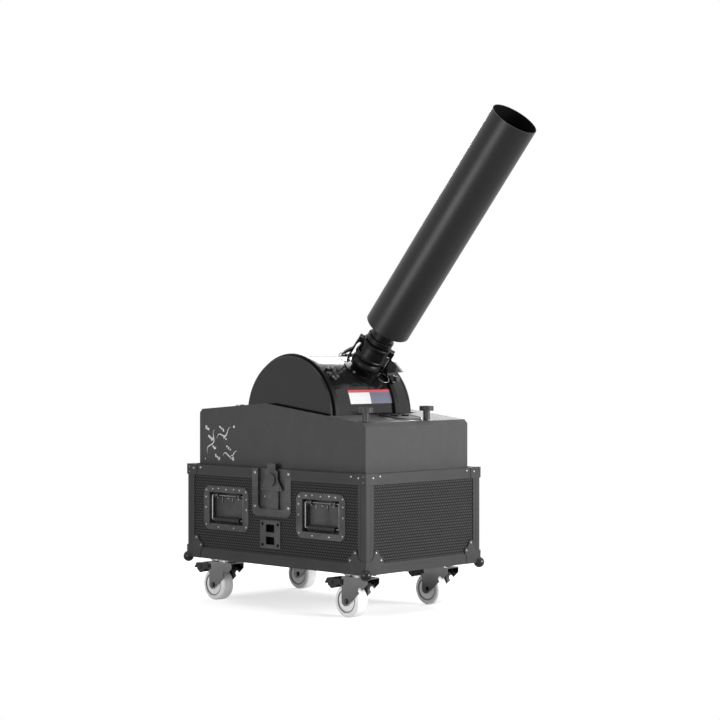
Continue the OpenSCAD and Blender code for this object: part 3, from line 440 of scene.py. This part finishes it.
def turned(shape, profile, at, axis, steps=24):
    axis = Vector(axis).normalized()
    side = axis.orthogonal().normalized()
    other = axis.cross(side)
    rings = []
    for radius, height in profile:
        if radius == 0:
            rings.append([shape.verts.new(at + axis * height)])
            continue
        ring = []
        for i in range(steps):
            a = math.tau * i / steps
            spoke = side * math.cos(a) + other * math.sin(a)
            ring.append(shape.verts.new(at + axis * height + spoke * radius))
        rings.append(ring)
    for lower, upper in zip(rings, rings[1:]):
        for i in range(steps):
            j = (i + 1) % steps
            corners = [lower[i % len(lower)], lower[j % len(lower)],
                       upper[j % len(upper)], upper[i % len(upper)]]
            corners = list(dict.fromkeys(corners))
            if len(corners) > 2:
                shape.faces.new(corners)
    for ring in (rings[0], rings[-1]):
        if len(ring) > 1:
            shape.faces.new(ring)


def cap_screw(shape, at, axis, r, h):
    """A socket-head screw: a chamfered head with a hollow in it."""
    turned(shape, [(r, 0), (r, h * 0.85), (r * 0.88, h), (r * 0.55, h), (r * 0.5, h * 0.45),
                   (0, h * 0.45)], at, axis)


def hex_bolt(shape, at, axis, r, h):
    """A washer, and a chamfered hexagon on it."""
    turned(shape, [(r * 1.5, 0), (r * 1.5, h * 0.18), (0, h * 0.18)], at, axis, 28)
    turned(shape, [(r * 1.1, h * 0.18), (r * 1.1, h * 0.9), (r * 0.95, h), (0, h)], at, axis, 6)


print("turned, cap_screw and hex_bolt ready")

# %% [markdown]
# The caster plates are bolted up into the case with four hexagon bolts each. They are hidden in
# most views, but a case stands on a stage at eye level often enough that its underside should be
# whole.

# %% Caster bolts
TRAIL = 0.038  # the kingpin stands this far ahead of the axle
PLATE_Z, HOLE_X, HOLE_Y = 0.131, 0.032, 0.027


def caster_bolts(shape):
    for name in WHEELS:
        low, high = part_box("fork_" + name)
        wheel_low, wheel_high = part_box("wheel_" + name)
        axle_x = (wheel_low.x + wheel_high.x) / 2
        pin = Vector((axle_x + TRAIL, (low.y + high.y) / 2, PLATE_Z))
        for sx in (-1, 1):
            for sy in (-1, 1):
                at = pin + Vector((sx * HOLE_X, sy * HOLE_Y, 0))
                hex_bolt(shape, at, (0, 0, -1), 0.0055, 0.0045)


new_piece("caster_bolts", caster_bolts, "rivet_steel", "case")

# %% [markdown]
# The recesses have fixings of their own: domed rivets on the back walls, and under each handle's
# hinge the two straight legs of its springs, which lie flat on the wall. They are tiny, but they
# catch the light in an otherwise empty dark box.


# %% Recess fixings
def dome(shape, at, axis, r, h):
    turned(shape, [(r, 0), (r * 0.93, h * 0.45), (r * 0.62, h * 0.85), (0, h)], at, axis, 20)


def recess_rivets(shape):
    spots = []
    for name in ("left_dish", "right_dish"):
        low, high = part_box(name)
        middle = (low + high) / 2
        spots += [(middle.x + x, high.y, middle.z + 0.030) for x in (-0.064, -0.016, 0.032)]
    low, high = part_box("latch_dish")
    for x, down in ((-0.042, 0.087), (0.0526, 0.067), (0.0526, 0.087)):
        spots.append(((low.x + high.x) / 2 + x, high.y, rim_z - down))
    for x, y, z in spots:
        dome(shape, Vector((x, y - 0.0015, z)), (0, -1, 0), 0.0027, 0.0016)


def spring_legs(shape):
    leg = [(0, 0), (0.0011, 0.0004), (0.0015, 0.0012), (0.0015, 0.0208), (0.0011, 0.0216),
           (0, 0.022)]
    for name in ("left_dish", "right_dish"):
        low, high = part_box(name)
        middle = (low + high) / 2
        for x in (-0.040, 0.008):
            top = Vector((middle.x + x, high.y - 0.0031, middle.z + 0.037))
            turned(shape, leg, top, (0, 0, -1), 16)


new_piece("recess_rivets", recess_rivets, "rivet_steel", "case")
new_piece("spring_legs", spring_legs, "bright_rod", "case")

# %% [markdown]
# Two more groups of fixings ride on the drum and move with it when it tilts: socket screws that
# hold the coupler's foot to the shell, and bright screws on the lugs that close the front clamp
# band. The shell is round, so each screw stands along the radius at its own place.


# %% Drum fixings
FOOT_TOP, SCREW_CIRCLE = 0.18945, 0.051
BAND_TOP, BAND_Y = 0.200, -0.162


def foot_screws(shape):
    across = Vector((math.sin(elevation), 0, -math.cos(elevation)))
    for degrees in (75, 180, 285):
        a = math.radians(degrees)
        foot = (across * math.cos(a) + Vector((0, 1, 0)) * math.sin(a)) * SCREW_CIRCLE
        reach = math.sqrt(FOOT_TOP ** 2 - foot.dot(across) ** 2)
        at = drum_axis + foot + along * reach
        cap_screw(shape, at, at - Vector((drum_axis.x, at.y, drum_axis.z)), 0.0048, 0.0045)


def band_screws(shape):
    for degrees in (37, 47):
        a = math.radians(degrees)
        out = Vector((math.cos(a), 0, math.sin(a)))
        lug = drum_axis + out * BAND_TOP + Vector((0, BAND_Y, 0))
        for y in (-0.009, 0.009):
            hex_bolt(shape, lug + out * 0.005 + Vector((0, y, 0)), out, 0.0034, 0.0045)
        tangent = Vector((-out.z, 0, out.x)) * (1 if degrees > 40 else -1)
        hex_bolt(shape, lug + tangent * 0.003, tangent, 0.0036, 0.005)


new_piece("foot_screws", foot_screws, "rivet_steel", "drum")
new_piece("band_screws", band_screws, "rivet_steel", "drum")

# %% [markdown]
# The hood's front wall carries a white print of loose confetti and streamers. Screen print has
# hardly any thickness, so a decal texture is the usual way. Here it is a thin skin just proud of
# the sheet, because shapes stay sharp at any distance. The ink is matt and rubbed a little.

# %% Ink
SKIN = 0.0002
ink = Finish("white_ink")
rubbed = ink.noise(300, 4).clear(0.5, 0.8) * 0.25
ink.set(Base_Color=ink.mix(rubbed, grey(0.90), grey(0.62)), Roughness=0.55)
ink.bump(ink.noise(1200, 2), 0.00003)
finishes["white_ink"] = ink
wall_y = wall_low.y - SKIN
print("ink skin at y", round(wall_y, 4))

# %% [markdown]
# Confetti is cut from tissue in small rectangles, which fall at any angle. A streamer is a ribbon
# that curls and thins to both ends: a sine gives the curl, and the width follows half a sine wave
# along it.


# %% Flakes and streamers

def flake(shape, x, z, long, wide, degrees):
    a = math.radians(degrees)
    u, v = Vector((math.cos(a), 0, math.sin(a))), Vector((-math.sin(a), 0, math.cos(a)))
    middle = Vector((case_x + x, wall_y, rim_z + z))
    shape.faces.new([shape.verts.new(middle + u * long * i / 2 + v * wide * j / 2)
                     for i, j in ((-1, -1), (1, -1), (1, 1), (-1, 1))])


def streamer(shape, x, z, reach, lean, wide=0.0045):
    """A curled ribbon that thins towards both ends."""
    STEPS, CURL, TURNS = 48, 0.0085, 8.5
    swing = Matrix.Rotation(-lean, 3, "Y")
    middle = Vector((case_x + x, wall_y, rim_z + z))
    edges = []
    for i in range(STEPS + 1):
        t = i / STEPS
        bend, slope = CURL * math.sin(t * TURNS), CURL * TURNS * math.cos(t * TURNS) / reach
        half = wide / 2 * math.sin(math.pi * (0.04 + 0.92 * t))
        side = Vector((-slope, 0, 1)).normalized() * half
        spot = Vector((reach * t, 0, bend))
        edges.append([shape.verts.new(middle + swing @ (spot + side * k)) for k in (-1, 1)])
    for low, high in zip(edges, edges[1:]):
        shape.faces.new((low[0], low[1], high[1], high[0]))


print("flake and streamer ready")

# %% [markdown]
# The flakes are strewn by golden-ratio steps. They look random, leave no clumps, and come out the
# same each time.


# %% Front print
def confetti_print(shape):
    for i in range(22):
        t, s = (i * 0.618034) % 1, (i * 0.754878) % 1
        size = 0.0046 + 0.0038 * ((i * 0.37) % 1)
        long = size * (1.6 if i % 3 else 1)
        flake(shape, -0.345 + 0.14 * t, 0.018 + 0.125 * s, long, size, 360 * ((i * 0.29) % 1))
    ribbons = ((-0.335, 0.035, 0.085, 62), (-0.29, 0.085, 0.075, 24), (-0.262, 0.03, 0.07, 8))
    for x, z, reach, lean in ribbons:
        streamer(shape, x, z, reach, math.radians(lean))


new_piece("confetti_print", confetti_print, "white_ink", "case", smooth=False)

# %% [markdown]
# The drum carries a paper label under clear film: a red strip over a white field and a slate blue
# one. The fields are masks on one material, by height and by place along the drum, and the paper
# has faded and rubbed a little.

# %% Label paper
label = Finish("label_paper")
ly, lz = label.axes()[1:]
height = (lz - drum_axis.z) / DRUM_RADIUS
top_strip = height.above(0.395)
grey_field = ly.above(-0.021)
paper = label.mix(grey_field, grey(0.90), (0.12, 0.125, 0.18))
paper = label.mix(top_strip, paper, (0.60, 0.07, 0.09))
rubbed = label.noise(120, 4).clear(0.5, 0.8) * 0.12
label.set(Base_Color=label.mix(rubbed, paper, grey(0.5)), Roughness=0.32)
label.bump(label.noise(700, 2), 0.00003)
finishes["label_paper"] = label
print("label paper ready")

# %% [markdown]
# A label follows the shell that it is stuck on. Its rows are laid round the drum's axis, a third
# of a millimetre proud of the enamel, so that it bends with the drum and never sinks into it.


# %% The drum's label
LABEL_RADIUS = DRUM_RADIUS + 0.00035


def curved_label(shape):
    rows = []
    for i in range(13):
        a = math.radians(12 + 14 * i / 12)
        x, z = drum_axis.x + LABEL_RADIUS * math.cos(a), drum_axis.z + LABEL_RADIUS * math.sin(a)
        rows.append([shape.verts.new((x, y, z)) for y in (-0.114, -0.02, 0.076)])
    for low, high in zip(rows, rows[1:]):
        for k in range(2):
            shape.faces.new((low[k], low[k + 1], high[k + 1], high[k]))


new_piece("drum_label", curved_label, "label_paper", "drum")

# %% [markdown]
# The camera stands six metres away with a long lens, which keeps the barrel's sides nearly
# parallel, and looks level from about the height of the drum's top, so that the case shows its
# front and right end alike.

# %% Camera
SENSOR, PICTURE_PX, FOCAL_PX = 36, 720, 1867.99
LENS = FOCAL_PX / PICTURE_PX * SENSOR
camera = bpy.data.objects.new("camera", bpy.data.cameras.new("camera"))
bpy.context.scene.collection.objects.link(camera)
camera.data.lens = LENS
camera.data.sensor_width = SENSOR
camera.data.clip_start, camera.data.clip_end = 0.1, 100
camera.location = (case_x + 4.20508, -4.24493, 0.78586)
turn, pitch = math.radians(43.86), math.radians(0.14)
look = Vector((-math.sin(turn) * math.cos(pitch), math.cos(turn) * math.cos(pitch),
               -math.sin(pitch)))
camera.rotation_euler = look.to_track_quat("-Z", "Y").to_euler()
bpy.context.scene.camera = camera
bpy.context.scene.view_settings.view_transform = "Standard"
print("camera", tuple(round(v, 3) for v in camera.location), "lens", round(LENS, 1))

# %% [markdown]
# The floor is pale and plain and is there to take the shadow. It fades out beyond the case, where
# the white of the world takes over, and it glows a little for the camera alone. That keeps the
# picture white without more light on the machine.

# %% Floor
FADE_FROM, FADE_TO = 0.9, 3.2  # squares of the distance from the case
ground = Finish("studio_floor")
for_camera = ground.add("ShaderNodeLightPath", out="Is Camera Ray")
fx, fy = ground.axes()[:2]
from_case = (fx + 0.2) * (fx + 0.2) + fy * fy
ground.set(Base_Color=(*grey(0.93), 1), Roughness=0.9, Specular_IOR_Level=0.1,
           Emission_Color=ground.mix(for_camera, (0.0, 0.0, 0.0), (1.0, 1.0, 1.0)),
           Emission_Strength=0.62, Alpha=1 - from_case.clear(FADE_FROM, FADE_TO))
sheet = bpy.data.meshes.new("floor")
sheet.from_pydata([(x, y, -0.0005) for x, y in ((-30, -30), (30, -30), (30, 30), (-30, 30))],
                  [], [(0, 1, 2, 3)])
floor = bpy.data.objects.new("floor", sheet)
bpy.context.scene.collection.objects.link(floor)
sheet.materials.append(ground.material)
print("floor fades from", round(FADE_FROM ** 0.5, 2), "to", round(FADE_TO ** 0.5, 2), "m")

# %% [markdown]
# The world is white where it is seen straight on, in a gloss or through glass, and dim where it
# only lights the object. So the horizon is white, polished parts mirror white, and the lamps
# still give the shading.

# %% World
AS_LIGHT = 0.11
sky = Finish("studio", bpy.data.worlds, "Background")
seen, mirrored, through = [sky.add("ShaderNodeLightPath", out="Is %s Ray" % way)
                           for way in ("Camera", "Glossy", "Transmission")]
white = seen.most(through).most(mirrored)
sky.set(Color=(1, 1, 1, 1), Strength=white * (1 - AS_LIGHT) + AS_LIGHT)
bpy.context.scene.world = sky.material
print("world 1.0 where seen,", AS_LIGHT, "as light")

# %% [markdown]
# Four soft lamps: a large one to the right that models the ends, one overhead, one behind for the
# drum's top, and a strip low in front whose long side runs along the barrel. A cylinder mirrors a
# lamp as a line, so a lamp turned to the barrel's own slant gives one clean highlight from end to
# end.


# %% Lamps
def softbox(name, at, size, power, target=(0.0, 0.0, 0.6), long_way=None):
    lamp = bpy.data.lights.new(name, "AREA")
    lamp.shape, lamp.size, lamp.size_y, lamp.energy = "RECTANGLE", size[0], size[1], power
    box = bpy.data.objects.new(name, lamp)
    box.visible_camera = False
    box.location = at
    aim = (Vector(target) - Vector(at)).normalized()
    box.rotation_euler = aim.to_track_quat("-Z", "Y").to_euler()
    if long_way:
        side = (Vector(long_way) - aim * aim.dot(Vector(long_way))).normalized()
        box.rotation_euler = Matrix((side, side.cross(aim), -aim)).transposed().to_euler()
    bpy.context.scene.collection.objects.link(box)


softbox("key_right", (4.6, 1.9, 1.4), (2.4, 2.4), 290)
softbox("top_box", (0.2, 0.4, 4.2), (2.5, 2.5), 80)
softbox("barrel_strip", (0.0, -2.3, 0.62), (1.4, 1.0), 23, (0.75, 0.0, 1.1), (0.64, 0.0, 0.77))
softbox("back_strip", (-1.9, 2.5, 2.35), (1.6, 1.2), 60, (-0.18, 0.0, 0.75))
print("lamps:", len(bpy.data.lights))
